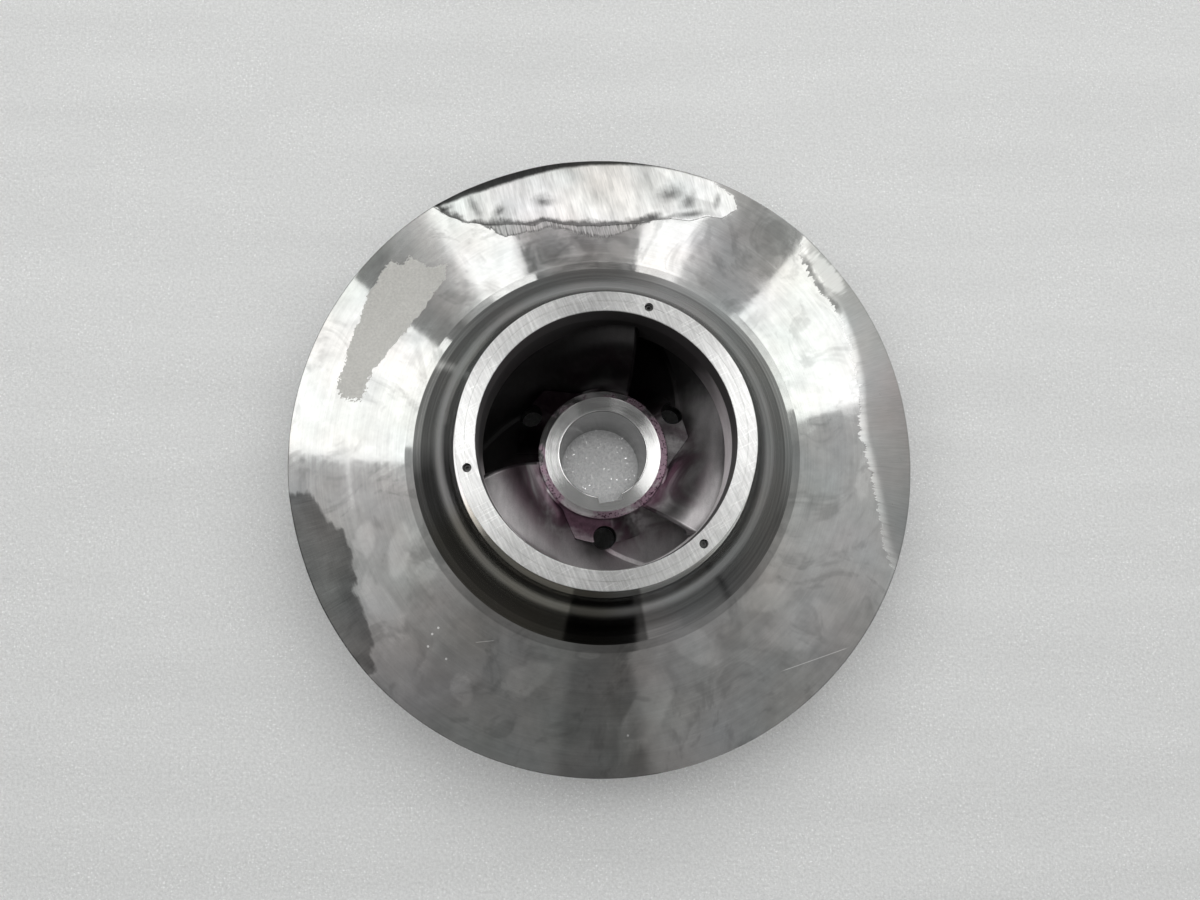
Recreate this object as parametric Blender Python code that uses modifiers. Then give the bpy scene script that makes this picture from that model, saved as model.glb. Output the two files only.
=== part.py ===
"""Closed pump impeller with three vanes, seen from its suction side.

Units are metres. The shaft axis is +Z, the eye faces up, and the hub's back face rests on z = 0.
"""

import math

import bmesh
import bpy
import numpy as np
from mathutils import Matrix, Vector

# Driving dimensions
RIM_RADIUS = 0.160
RIM_TOP = 0.060
RING_FACE = 0.115
RING_OUTER = 0.0686
RING_INNER = 0.0643
RING_LENGTH = 0.0206
EYE_RADIUS = 0.0594
NECK_RADIUS = 0.0719
SHOULDER_RADIUS = 0.0995
SHOULDER_RISE = 0.0088
FACETS = ((0.0043, math.radians(16)), (0.0040, math.radians(25)))
SWEEP_SLOPE = math.radians(30)
NECK_SLOPE = math.radians(75)
EYE_LIP_RADIUS = 0.016
FRONT_EDGE = 0.005
OUTLET_WIDTH = 0.020
BACK_EDGE = 0.006

HUB_RADIUS = 0.0332
BORE_RADIUS = 0.0221
NOSE_FACE = 0.0613
NOSE_CHAMFER_WIDTH = 0.0038
NOSE_CHAMFER_DROP = 0.0014
KEYWAY_WIDTH = 0.012
KEYWAY_REACH = 0.0247
KEYWAY_ANGLE = math.radians(279.4)
EDGE_CHAMFER = 0.001
FLOOR_AT_HUB = 0.0500
FLOOR_FALL = 0.030

LEDGE_HEIGHT = 0.058
LEDGE_RADIUS = 0.0450
LEDGE_START = math.radians(14)
LEDGE_END = math.radians(84)
LEDGE_FADE = math.radians(108)

VANE_COUNT = 3
ROOT_EDGE_ANGLE = math.radians(69)
TIP_EDGE_ANGLE = math.radians(75.7)
ROOT_EDGE_HEIGHT = 0.0600
TIP_EDGE_HEIGHT = 0.092
EDGE_ARCH = 0.011
EDGE_BOW = math.radians(1.3)
EDGE_FADE = math.radians(50)
INLET_ANGLE = math.radians(20)
OUTLET_ANGLE = math.radians(28.6)
ROOT_LEAVES_HUB = math.radians(45)
ROOT_DROP = 0.0074
VANE_THIN = 0.0032
VANE_THICK = 0.0060

BALANCE_RADIUS = 0.0423
BALANCE_HOLE = 0.0058
BALANCE_ANGLE = math.radians(31.2)

SCREW_HOLE = 0.00205
SCREW_RADIUS = 0.0017
SCREW_HOLE_DEPTH = 0.012
SCREW_LENGTH = 0.007
SCREW_RECESS = 0.0026
SCREW_ANGLE = math.radians(72.3)

BACK_RING_FACE = 0.004
BACK_RING_LENGTH = 0.014
BACK_FILLET = 0.010
BACK_WALL = 0.011

GAP = 0.0003
VANE_GAP = 0.0004
STEPS = 64
HUB_STEPS = 48
OVERSHOOT = 0.004

RING_SEAT = RING_FACE - RING_LENGTH
BACK_RING_SEAT = BACK_RING_FACE + BACK_RING_LENGTH
FRONT_UNDER = RIM_TOP - FRONT_EDGE
FLOOR_AT_RIM = FRONT_UNDER - OUTLET_WIDTH
BACK_RIM = FLOOR_AT_RIM - BACK_EDGE
SHOULDER_HEIGHT = RIM_TOP + SHOULDER_RISE
UNDER_SLOPE = 0.1207


def clear_scene():
    for obj in list(bpy.data.objects):
        bpy.data.objects.remove(obj, do_unlink=True)


def new_collection(name):
    collection = bpy.data.collections.new(name)
    bpy.context.scene.collection.children.link(collection)
    return collection


def principled(name, color, roughness, metallic=1.0):
    material = bpy.data.materials.new(name)
    material.use_nodes = True
    shader = material.node_tree.nodes["Principled BSDF"]
    shader.inputs["Base Color"].default_value = (*color, 1)
    shader.inputs["Roughness"].default_value = roughness
    shader.inputs["Metallic"].default_value = metallic
    return material


def arc(centre, radius, start, end, count):
    """Points of an arc in the (radius, height) plane, with angles in degrees from the outward direction."""
    angles = [math.radians(start + (end - start) * i / count) for i in range(count + 1)]
    return [(centre[0] + radius * math.cos(a), centre[1] + radius * math.sin(a)) for a in angles]


def link(mesh, name, collection, material):
    obj = bpy.data.objects.new(name, mesh)
    collection.objects.link(obj)
    if material:
        mesh.materials.append(material)
    return obj


def turned(name, profile, steps, collection, material):
    """A closed profile, which runs down its outer side, turned round the shaft axis."""
    mesh = bpy.data.meshes.new(name)
    count = len(profile)
    edges = [(i, (i + 1) % count) for i in range(count)]
    mesh.from_pydata([(r, 0, z) for r, z in profile], edges, [])
    obj = link(mesh, name, collection, material)
    screw = obj.modifiers.new("Turning", "SCREW")
    screw.axis = "Z"
    screw.steps = steps
    screw.render_steps = steps
    screw.use_merge_vertices = True
    screw.merge_threshold = 0.00001
    screw.use_smooth_shade = True
    return obj


def cylinder(name, radius, low, high, place, collection, material=None, sides=16):
    bm = bmesh.new()
    middle = Matrix.Translation((0, 0, (low + high) / 2))
    bmesh.ops.create_cone(
        bm, cap_ends=True, segments=sides, radius1=radius, radius2=radius, depth=high - low, matrix=middle
    )
    mesh = bpy.data.meshes.new(name)
    bm.to_mesh(mesh)
    bm.free()
    obj = link(mesh, name, collection, material)
    obj.location = place
    return obj


def key_slot(collection):
    """Cutter for the keyway, which runs the length of the bore."""
    bm = bmesh.new()
    bmesh.ops.create_cube(bm, size=1.0)
    mesh = bpy.data.meshes.new("keyway")
    bm.to_mesh(mesh)
    bm.free()
    obj = link(mesh, "keyway", collection, None)
    middle = around(KEYWAY_REACH / 2, KEYWAY_ANGLE, NOSE_FACE / 2)
    obj.location = middle
    obj.rotation_euler.z = KEYWAY_ANGLE
    obj.scale = (KEYWAY_REACH, KEYWAY_WIDTH, NOSE_FACE + 2 * OVERSHOOT)
    return obj


def cut(obj, cutter, label, use_self=False):
    cutter.hide_render = True
    cutter.display_type = "WIRE"
    boolean = obj.modifiers.new(label, "BOOLEAN")
    boolean.operation = "DIFFERENCE"
    boolean.solver = "EXACT"
    boolean.use_self = use_self
    boolean.object = cutter


def join(obj, other, label):
    other.hide_render = True
    other.display_type = "WIRE"
    boolean = obj.modifiers.new(label, "BOOLEAN")
    boolean.operation = "UNION"
    boolean.solver = "EXACT"
    boolean.object = other


def around(radius, angle, height=0.0):
    return Vector((radius * math.cos(angle), radius * math.sin(angle), height))


def under_height(radius):
    """Water side of the front shroud outside the eye's lip."""
    return FRONT_UNDER + (RIM_RADIUS - radius) * UNDER_SLOPE


def lip_centre(radius):
    slope = math.atan(UNDER_SLOPE)
    centre_radius = EYE_RADIUS + radius
    return centre_radius, under_height(centre_radius) + radius / math.cos(slope)


def floor_height(radius):
    """Water side of the back shroud, which falls away from the hub to the rim."""
    fall = math.exp(-(radius - HUB_RADIUS) / FLOOR_FALL)
    last = math.exp(-(RIM_RADIUS - HUB_RADIUS) / FLOOR_FALL)
    return FLOOR_AT_RIM + (FLOOR_AT_HUB - FLOOR_AT_RIM) * (fall - last) / (1 - last)


def facet_corners():
    """Corners of the turned facets, from the shoulder inwards."""
    corners = [(SHOULDER_RADIUS, SHOULDER_HEIGHT)]
    for width, slope in FACETS:
        radius, height = corners[-1]
        corners.append((radius - width, height + width * math.tan(slope)))
    return corners


def neck_sweep(count=8):
    """The hollow curve from the ring's seat down to the facets, steep at the top and flat at the bottom."""
    top = Vector((NECK_RADIUS, RING_SEAT))
    bottom = Vector(facet_corners()[-1])
    handle = (bottom - top).length / 3
    steep = top + handle * Vector((math.cos(NECK_SLOPE), -math.sin(NECK_SLOPE)))
    flat = bottom + handle * Vector((-math.cos(SWEEP_SLOPE), math.sin(SWEEP_SLOPE)))
    points = []
    for i in range(count + 1):
        t = i / count
        u = 1 - t
        point = u**3 * top + 3 * u**2 * t * steep + 3 * u * t**2 * flat + t**3 * bottom
        points.append(tuple(point))
    return points


def front_shroud_profile():
    slope = math.degrees(math.atan(UNDER_SLOPE))
    neck_outer = RING_INNER - GAP / 2
    outer = [(neck_outer, RING_FACE), (neck_outer, RING_SEAT)]
    outer += neck_sweep() + facet_corners()[-2::-1]
    outer += [
        (RIM_RADIUS - EDGE_CHAMFER / 2, RIM_TOP),
        (RIM_RADIUS, RIM_TOP - EDGE_CHAMFER / 2),
        (RIM_RADIUS, FRONT_UNDER),
    ]
    lip = arc(lip_centre(EYE_LIP_RADIUS), EYE_LIP_RADIUS, 270 - slope, 180, 6)
    return outer + lip + [(EYE_RADIUS, RING_FACE)]


def back_shroud_profile():
    neck_outer = RING_INNER - GAP / 2
    seat = BACK_RING_SEAT
    fillet = arc((NECK_RADIUS + BACK_FILLET, BACK_RIM - BACK_FILLET), BACK_FILLET, 90, 180, 5)
    radii = np.linspace(HUB_RADIUS + GAP, RIM_RADIUS, 11)
    floor = [(r, floor_height(r)) for r in radii]
    under = [(RIM_RADIUS, BACK_RIM)] + fillet + [(NECK_RADIUS, seat), (neck_outer, seat)]
    ceiling_hub = (HUB_RADIUS + GAP, floor_height(HUB_RADIUS) - BACK_WALL)
    ceiling_neck = (EYE_RADIUS, floor_height(EYE_RADIUS) - BACK_WALL)
    recess = [(neck_outer, BACK_RING_FACE), (EYE_RADIUS, BACK_RING_FACE), ceiling_neck, ceiling_hub]
    return floor + under + recess


def hub_profile():
    return [
        (HUB_RADIUS - NOSE_CHAMFER_WIDTH, NOSE_FACE),
        (HUB_RADIUS, NOSE_FACE - NOSE_CHAMFER_DROP),
        (HUB_RADIUS, EDGE_CHAMFER),
        (HUB_RADIUS - EDGE_CHAMFER, 0),
        (BORE_RADIUS + EDGE_CHAMFER / 2, 0),
        (BORE_RADIUS, EDGE_CHAMFER / 2),
        (BORE_RADIUS, NOSE_FACE - EDGE_CHAMFER / 2),
        (BORE_RADIUS + EDGE_CHAMFER / 2, NOSE_FACE),
    ]


def ring_profile(low, high):
    inner = RING_INNER + GAP / 2
    corner = EDGE_CHAMFER / 4
    return [
        (RING_OUTER - corner, high),
        (RING_OUTER, high - corner),
        (RING_OUTER, low + corner),
        (RING_OUTER - corner, low),
        (inner, low),
        (inner, high),
    ]


def tip_path():
    """The vane's edge along the front shroud, as (turn, radius, height) points from inlet to outlet.

    It starts on the eye's wall, goes round the lip and then follows the water side.
    """
    centre = lip_centre(EYE_LIP_RADIUS)
    bend = EYE_LIP_RADIUS + VANE_GAP
    slope = math.atan(UNDER_SLOPE)
    turn = 0.0
    step = math.radians(0.5)
    radius = EYE_RADIUS - VANE_GAP
    height = TIP_EDGE_HEIGHT
    along = centre[1] - TIP_EDGE_HEIGHT
    bend_length = bend * (math.pi / 2 - slope)
    points = [(turn, radius, height)]
    while radius < RIM_RADIUS - VANE_GAP:
        share = min(1.0, turn / math.radians(150))
        angle = INLET_ANGLE + (OUTLET_ANGLE - INLET_ANGLE) * share
        along += radius * math.tan(angle) * step
        turn += step
        if along < 0:
            height = centre[1] - along
        elif along < bend_length:
            swept = math.pi + along / bend
            radius = centre[0] + bend * math.cos(swept)
            height = centre[1] + bend * math.sin(swept)
        else:
            end = math.pi + bend_length / bend
            radius = centre[0] + bend * math.cos(end) + (along - bend_length) * math.cos(slope)
            height = centre[1] + bend * math.sin(end) - (along - bend_length) * math.sin(slope)
        radius = min(radius, RIM_RADIUS - VANE_GAP)
        points.append((turn, radius, height))
    return points


def root_point(turn, wrap):
    """The vane's edge along the hub and the floor, at a turn from its own leading end."""
    start = HUB_RADIUS + VANE_GAP
    radius = start
    if turn > ROOT_LEAVES_HUB:
        share = (turn - ROOT_LEAVES_HUB) / (wrap - ROOT_LEAVES_HUB)
        radius = start * math.exp(math.log((RIM_RADIUS - VANE_GAP) / start) * share**1.2)
    height = ROOT_EDGE_HEIGHT - ROOT_DROP * turn**2
    return radius, max(height, floor_height(radius) + VANE_GAP)


def vane_sheet(stations, spans):
    """Suction side of the first vane: points[station][span], from the root to the tip."""
    tip = tip_path()
    tip_wrap = tip[-1][0]
    root_wrap = TIP_EDGE_ANGLE + tip_wrap - ROOT_EDGE_ANGLE
    turns = np.array([point[0] for point in tip])
    sheet = np.zeros((stations + 1, spans + 1, 3))
    for i in range(stations + 1):
        share = i / stations
        tip_turn = share * tip_wrap
        tip_radius = np.interp(tip_turn, turns, [point[1] for point in tip])
        tip_height = np.interp(tip_turn, turns, [point[2] for point in tip])
        root_radius, root_height = root_point(share * root_wrap, root_wrap)
        fade = math.exp(-((tip_turn / EDGE_FADE) ** 2))
        for j in range(spans + 1):
            span = j / spans
            radius = root_radius + (tip_radius - root_radius) * span
            arch = 4 * span * (1 - span) * fade
            height = root_height + (tip_height - root_height) * span + EDGE_ARCH * arch
            root_angle = ROOT_EDGE_ANGLE + share * root_wrap
            tip_angle = TIP_EDGE_ANGLE + tip_turn
            angle = root_angle + (tip_angle - root_angle) * span + EDGE_BOW * arch
            sheet[i, j] = around(radius, angle, height)
    return sheet


def nearest_on(polyline, radius, height):
    best = None
    for (r0, z0), (r1, z1) in zip(polyline[:-1], polyline[1:]):
        length = (r1 - r0) ** 2 + (z1 - z0) ** 2
        share = ((radius - r0) * (r1 - r0) + (height - z0) * (z1 - z0)) / length
        share = min(1.0, max(0.0, share))
        found = (r0 + share * (r1 - r0), z0 + share * (z1 - z0))
        distance = (found[0] - radius) ** 2 + (found[1] - height) ** 2
        if best is None or distance < best[0]:
            best = (distance, found)
    return best[1]


def sheet_normals(sheet):
    along = np.gradient(sheet, axis=0)
    across = np.gradient(sheet, axis=1)
    normal = np.cross(across, along)
    return normal / np.linalg.norm(normal, axis=2, keepdims=True)


def pressure_sheet(sheet):
    """The other side of the vane, a thickness below the suction side, with both edges kept on their walls."""
    stations, spans = sheet.shape[0] - 1, sheet.shape[1] - 1
    normals = sheet_normals(sheet)
    if normals[0, 0, 2] < 0:
        normals = -normals
    share = np.linspace(0, 1, stations + 1)
    thickness = VANE_THIN + (VANE_THICK - VANE_THIN) * np.sin(np.pi * share) ** 0.7
    other = sheet - normals * thickness[:, None, None]
    start = HUB_RADIUS + VANE_GAP
    radii = np.linspace(start, RIM_RADIUS - VANE_GAP, 40)
    root_wall = [(start, NOSE_FACE)] + [(r, floor_height(r) + VANE_GAP) for r in radii]
    tip_wall = [(EYE_RADIUS - VANE_GAP, RING_FACE)] + [(r, z) for _, r, z in tip_path()]
    for i in range(stations + 1):
        shifts = []
        for j, wall in ((0, root_wall), (spans, tip_wall)):
            x, y, z = other[i, j]
            radius = math.hypot(x, y)
            near_radius, near_height = nearest_on(wall, radius, z)
            if near_radius <= start:
                near_height = min(near_height, sheet[i, 0][2] - thickness[i])
            shifts.append((near_radius - radius, near_height - z))
        for j in range(spans + 1):
            span = j / spans
            x, y, z = other[i, j]
            angle = math.atan2(y, x)
            radius = math.hypot(x, y) + shifts[0][0] * (1 - span) + shifts[1][0] * span
            radius = min(radius, RIM_RADIUS - VANE_GAP)
            other[i, j] = around(radius, angle, z + shifts[0][1] * (1 - span) + shifts[1][1] * span)
    return other


def vane_mesh(name, stations=28, spans=6):
    """The vane as a loft: two sheets closed at the root, the tip, the inlet nose and the outlet edge."""
    top = vane_sheet(stations, spans)
    bottom = pressure_sheet(top)
    nose = (top[0] + bottom[0]) / 2 - (top[1] - top[0]) * 0.25
    bm = bmesh.new()
    upper = [[bm.verts.new(p) for p in row] for row in top]
    lower = [[bm.verts.new(p) for p in row] for row in bottom]
    front = [bm.verts.new(p) for p in nose]
    for i in range(stations):
        for j in range(spans):
            bm.faces.new((upper[i][j], upper[i + 1][j], upper[i + 1][j + 1], upper[i][j + 1]))
            bm.faces.new((lower[i][j], lower[i][j + 1], lower[i + 1][j + 1], lower[i + 1][j]))
        bm.faces.new((upper[i][0], lower[i][0], lower[i + 1][0], upper[i + 1][0]))
        bm.faces.new((upper[i][spans], upper[i + 1][spans], lower[i + 1][spans], lower[i][spans]))
    for j in range(spans):
        bm.faces.new((upper[0][j], upper[0][j + 1], front[j + 1], front[j]))
        bm.faces.new((front[j], front[j + 1], lower[0][j + 1], lower[0][j]))
        bm.faces.new((upper[-1][j], lower[-1][j], lower[-1][j + 1], upper[-1][j + 1]))
    bm.faces.new((upper[0][0], front[0], lower[0][0]))
    bm.faces.new((upper[0][spans], lower[0][spans], front[spans]))
    bmesh.ops.recalc_face_normals(bm, faces=bm.faces)
    mesh = bpy.data.meshes.new(name)
    bm.to_mesh(mesh)
    bm.free()
    return mesh


def ledge_mesh(name, stations=14):
    """The machined ledge at the vane's root, beside the hub: flat, then falling to the floor."""
    inner = HUB_RADIUS + VANE_GAP
    bm = bmesh.new()
    rows = []
    for i in range(stations + 1):
        turn = LEDGE_START + (LEDGE_FADE - LEDGE_START) * i / stations
        fade = max(0.0, (turn - LEDGE_END) / (LEDGE_FADE - LEDGE_END))
        fall = 0.5 - 0.5 * math.cos(math.pi * fade)
        row = []
        for radius, is_top in ((inner, True), (LEDGE_RADIUS, True), (LEDGE_RADIUS, False), (inner, False)):
            bottom = floor_height(radius) + VANE_GAP
            low_top = bottom + 0.001
            height = LEDGE_HEIGHT + (low_top - LEDGE_HEIGHT) * fall if is_top else bottom
            row.append(bm.verts.new(around(radius, ROOT_EDGE_ANGLE + turn, height)))
        rows.append(row)
    for first, second in zip(rows[:-1], rows[1:]):
        for j in range(4):
            bm.faces.new((first[j], second[j], second[(j + 1) % 4], first[(j + 1) % 4]))
    bm.faces.new(rows[0])
    bm.faces.new(rows[-1][::-1])
    bmesh.ops.recalc_face_normals(bm, faces=bm.faces)
    mesh = bpy.data.meshes.new(name)
    bm.to_mesh(mesh)
    bm.free()
    return mesh


def build():
    clear_scene()
    parts = new_collection("closed_pump_impeller")
    cutters = new_collection("cutters")
    cutters.hide_render = True
    turned_steel = principled("turned_steel", (0.56, 0.57, 0.57), 0.28)
    cast_steel = principled("cast_steel", (0.30, 0.30, 0.31), 0.45)
    ring_steel = principled("ring_steel", (0.66, 0.66, 0.67), 0.34)
    screw_steel = principled("screw_steel", (0.12, 0.12, 0.13), 0.4)

    front_shroud = turned("front_shroud", front_shroud_profile(), STEPS, parts, turned_steel)
    back_shroud = turned("back_shroud", back_shroud_profile(), STEPS, parts, cast_steel)
    hub = turned("hub", hub_profile(), HUB_STEPS, parts, turned_steel)
    cut(hub, key_slot(cutters), "Keyway")
    front_ring = turned("front_wear_ring", ring_profile(RING_SEAT + GAP, RING_FACE), STEPS, parts, ring_steel)
    back_low, back_high = BACK_RING_FACE, BACK_RING_SEAT - GAP
    back_ring = turned("back_wear_ring", ring_profile(back_low, back_high), STEPS, parts, ring_steel)

    vane_shape = vane_mesh("vane")
    ledge_shape = ledge_mesh("ledge")
    vane_shape.materials.append(cast_steel)
    for k in range(VANE_COUNT):
        turn = 2 * math.pi * k / VANE_COUNT
        vane = link(vane_shape, f"vane_{k + 1}", parts, None)
        vane.rotation_euler.z = turn
        ledge = link(ledge_shape, f"ledge_{k + 1}", cutters, None)
        ledge.rotation_euler.z = turn
        join(vane, ledge, "Ledge")

        hole_place = around(BALANCE_RADIUS, BALANCE_ANGLE + turn)
        low = floor_height(EYE_RADIUS) - BACK_WALL - OVERSHOOT
        high = LEDGE_HEIGHT + OVERSHOOT
        hole = cylinder(f"balance_hole_{k + 1}", BALANCE_HOLE, low, high, hole_place, cutters, sides=20)
        cut(back_shroud, hole, f"Balance hole {k + 1}")
        previous = parts.objects.get(f"vane_{(k + 2) % VANE_COUNT + 1}")
        if previous:
            cut(previous, hole, "Balance hole", use_self=True)
        if k == VANE_COUNT - 1:
            first_hole = cutters.objects["balance_hole_1"]
            cut(vane, first_hole, "Balance hole", use_self=True)

        place = around(RING_INNER, SCREW_ANGLE + turn)
        front_low = RING_FACE - SCREW_HOLE_DEPTH
        front_hole = cylinder(
            f"front_screw_hole_{k + 1}", SCREW_HOLE, front_low, RING_FACE + OVERSHOOT, place, cutters
        )
        cut(front_shroud, front_hole, f"Lock screw hole {k + 1}")
        cut(front_ring, front_hole, f"Lock screw hole {k + 1}")
        top = RING_FACE - SCREW_RECESS
        cylinder(f"front_lock_screw_{k + 1}", SCREW_RADIUS, top - SCREW_LENGTH, top, place, parts, screw_steel, 12)

        back_high = BACK_RING_FACE + SCREW_HOLE_DEPTH
        back_hole = cylinder(
            f"back_screw_hole_{k + 1}", SCREW_HOLE, BACK_RING_FACE - OVERSHOOT, back_high, place, cutters
        )
        cut(back_shroud, back_hole, f"Lock screw hole {k + 1}")
        cut(back_ring, back_hole, f"Lock screw hole {k + 1}")
        low = BACK_RING_FACE + SCREW_RECESS
        cylinder(f"back_lock_screw_{k + 1}", SCREW_RADIUS, low, low + SCREW_LENGTH, place, parts, screw_steel, 12)


build()
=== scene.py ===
"""Looks of the closed pump impeller: finely turned surfaces, cast passages, wear and dye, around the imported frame."""

from math import atan, ceil, cos, degrees, dist, exp, log, pi, radians, sin, tan

import bmesh
import bpy
import numpy as np
from mathutils import Matrix, Vector


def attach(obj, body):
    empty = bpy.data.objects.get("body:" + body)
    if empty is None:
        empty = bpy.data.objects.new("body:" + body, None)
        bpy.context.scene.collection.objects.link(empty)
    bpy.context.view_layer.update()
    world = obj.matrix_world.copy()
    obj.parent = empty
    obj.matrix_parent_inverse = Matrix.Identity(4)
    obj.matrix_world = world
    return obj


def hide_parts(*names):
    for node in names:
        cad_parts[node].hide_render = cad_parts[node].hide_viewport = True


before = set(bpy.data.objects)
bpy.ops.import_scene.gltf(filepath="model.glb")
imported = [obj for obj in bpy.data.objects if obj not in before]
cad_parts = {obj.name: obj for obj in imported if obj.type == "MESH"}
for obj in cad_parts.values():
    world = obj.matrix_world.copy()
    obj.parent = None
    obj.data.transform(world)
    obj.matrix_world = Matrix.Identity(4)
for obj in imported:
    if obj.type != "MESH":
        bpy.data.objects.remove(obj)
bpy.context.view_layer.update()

# Sizes in metres, the same as the frame's
RIM_RADIUS = 0.160
RIM_TOP = 0.060
RING_FACE = 0.115
RING_OUTER = 0.0686
RING_INNER = 0.0643
RING_LENGTH = 0.0206
EYE_RADIUS = 0.0594
NECK_RADIUS = 0.0719
SHOULDER_RADIUS = 0.0995
SHOULDER_HEIGHT = 0.0688
FACETS = ((0.0043, radians(16)), (0.0040, radians(25)))
NECK_SLOPE = radians(75)
EYE_LIP_RADIUS = 0.016
FRONT_UNDER = 0.055
UNDER_SLOPE = 0.1207
FLOOR_AT_RIM = 0.035
BACK_RIM = 0.029
HUB_RADIUS = 0.0332
BORE_RADIUS = 0.0221
NOSE_FACE = 0.0613
NOSE_CHAMFER_WIDTH = 0.0038
NOSE_CHAMFER_DROP = 0.0014
KEYWAY_WIDTH = 0.012
KEYWAY_REACH = 0.0247
KEYWAY_ANGLE = radians(279.4)
FLOOR_AT_HUB = 0.0500
FLOOR_FALL = 0.030
BACK_RING_FACE = 0.004
BACK_RING_SEAT = 0.018
BACK_FILLET = 0.010
BACK_WALL = 0.011
RING_SEAT = RING_FACE - RING_LENGTH
SEAT_GAP = 0.00002
SEAT_BEVEL = 0.00005
RING_BEVEL = 0.0002
RIM_BEVEL = 0.0005
BEVEL = 0.0003
HUB_BEVELS = (0.0004, 0.0005, 0.0010, 0.0006, 0.0005)
CUTTER_REACH = 0.004

LEDGE_HEIGHT = 0.058
LEDGE_RADIUS = 0.0450
LEDGE_START = radians(14)
LEDGE_END = radians(84)
LEDGE_FADE = radians(108)
ROOT_EDGE_ANGLE = radians(69)
TIP_EDGE_ANGLE = radians(75.7)
ROOT_EDGE_HEIGHT = 0.0600
TIP_EDGE_HEIGHT = 0.092
EDGE_ARCH = 0.011
EDGE_BOW = radians(1.3)
EDGE_FADE = radians(50)
INLET_ANGLE = radians(20)
OUTLET_ANGLE = radians(28.6)
OUTLET_TURN = radians(150)
ROOT_LEAVES_HUB = radians(45)
ROOT_DROP = 0.0074
ROOT_FILLET = 0.0030
TIP_FILLET = 0.0065
VANE_THIN = 0.0032
VANE_THICK = 0.0060
VANE_GAP = 0.0001
FLOOR_SINK = 0.0006
OUTLET_RADIUS = RIM_RADIUS - 0.0004
BALANCE_RADIUS = 0.0423
BALANCE_HOLE = 0.0058
BALANCE_ANGLE = radians(31.2)
SCREW_HOLE = 0.00205
SCREW_RADIUS = 0.0017
SCREW_HOLE_DEPTH = 0.012
SCREW_LENGTH = 0.007
SCREW_RECESS = 0.0026
SOCKET_RADIUS = 0.00095
SOCKET_DEPTH = 0.0018
SCREW_ANGLE = radians(72.3)
THIRD = 2 * pi / 3
SCREW_TURNS = [SCREW_ANGLE + k * THIRD for k in range(3)]
SCREW_PLACES = [(RING_INNER * cos(turn), RING_INNER * sin(turn)) for turn in SCREW_TURNS]
BALANCE_TURNS = [BALANCE_ANGLE + k * THIRD for k in range(3)]
BALANCE_PLACES = [(BALANCE_RADIUS * cos(turn), BALANCE_RADIUS * sin(turn)) for turn in BALANCE_TURNS]

# How the ground areas fall away from their borders, and how deep the dents in them are
TOP_LEAN = 0.05
LEFT_LEAN = 0.09
RIGHT_LEAN = 0.11
RIGHT_BEND = 0.005
ROLL_WIDTH = 0.010
ROLL_BEND = 18
DENT_DEPTH = 0.0003
LEAST_EDGE = 0.0003
DEPTH_LIMIT = 30.0

# Steps round the pieces, and along and across a vane, whose stations crowd at the inlet
FRONT_STEPS = 768
RING_STEPS = 512
PLAIN_STEPS = 384
STATIONS = 110
SPANS = 26
CROWDING = 1.3
LEDGE_STATIONS = 60

# The camera, from the circles of the rim, ring, nose and bore
CAMERA_PLACE = (-0.01472, -0.06144, 0.51696)
CAMERA_TILT = radians(8.09)
CAMERA_LEAN = radians(78.3)
CAMERA_LENS = 27.0
CAMERA_SENSOR = 36.0

FLOOR_WIDTH = 12.0

# Outlines of worn areas on the front shroud, as (x, y) in millimetres
CAST_PATCH = (
    (-111, 101), (-104, 98), (-101, 104), (-92, 97), (-82, 98), (-82, 90), (-90, 79), (-97, 68), (-104, 59),
    (-111, 50), (-118, 42), (-121, 32), (-124, 26), (-133, 28), (-136, 34), (-133, 44), (-130, 58), (-125, 72),
    (-120, 86), (-117, 94),
)
GROUND_TOP = (
    (-120, 132), (-90, 132), (-81, 126), (-72, 123), (-62, 121), (-53, 121), (-44, 121), (-36, 120), (-31, 123),
    (-21, 121), (-13, 120), (-2, 120), (9, 121), (20, 122), (26, 124), (36, 125), (46, 124), (55, 127), (63, 126),
    (72, 132), (70, 140), (60, 146), (60, 220), (-120, 220),
)
GROUND_STEP = (
    (-64, 122), (-58, 118), (-53, 114), (-44, 115), (-35, 116), (-28, 119), (-21, 118), (-13, 115), (-2, 114),
    (6, 114), (13, 117), (17, 119), (24, 123), (9, 122), (-13, 121), (-31, 124), (-44, 122),
)
ROLLED_EDGE = (
    (-92, 130), (-80, 134), (-72, 138), (-65, 140), (-55, 144), (-44, 148), (-31, 152), (-21, 154.5), (-7, 156.5),
    (9, 157), (25, 156.5), (41, 154), (59, 148), (59, 220), (-92, 220),
)
GROUND_RIGHT = (
    (108, 122), (105.5, 114), (105, 109), (106, 102), (111, 93), (115, 86), (121, 79), (125, 70), (128, 60), (130, 51),
    (132, 36), (132, 22), (133, 7), (136, -5), (140, -26), (142, -43), (145, -53), (149, -62), (240, -130), (240, 260),
    (160, 260),
)
GROUND_LEFT = (
    (-220, -20), (-150, -20), (-143, -28), (-137, -34), (-130, -39), (-125, -50), (-126, -57), (-123, -63),
    (-124, -69), (-120, -76), (-116, -84), (-114, -93), (-115, -100), (-112, -108), (-220, -180),
)
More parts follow.
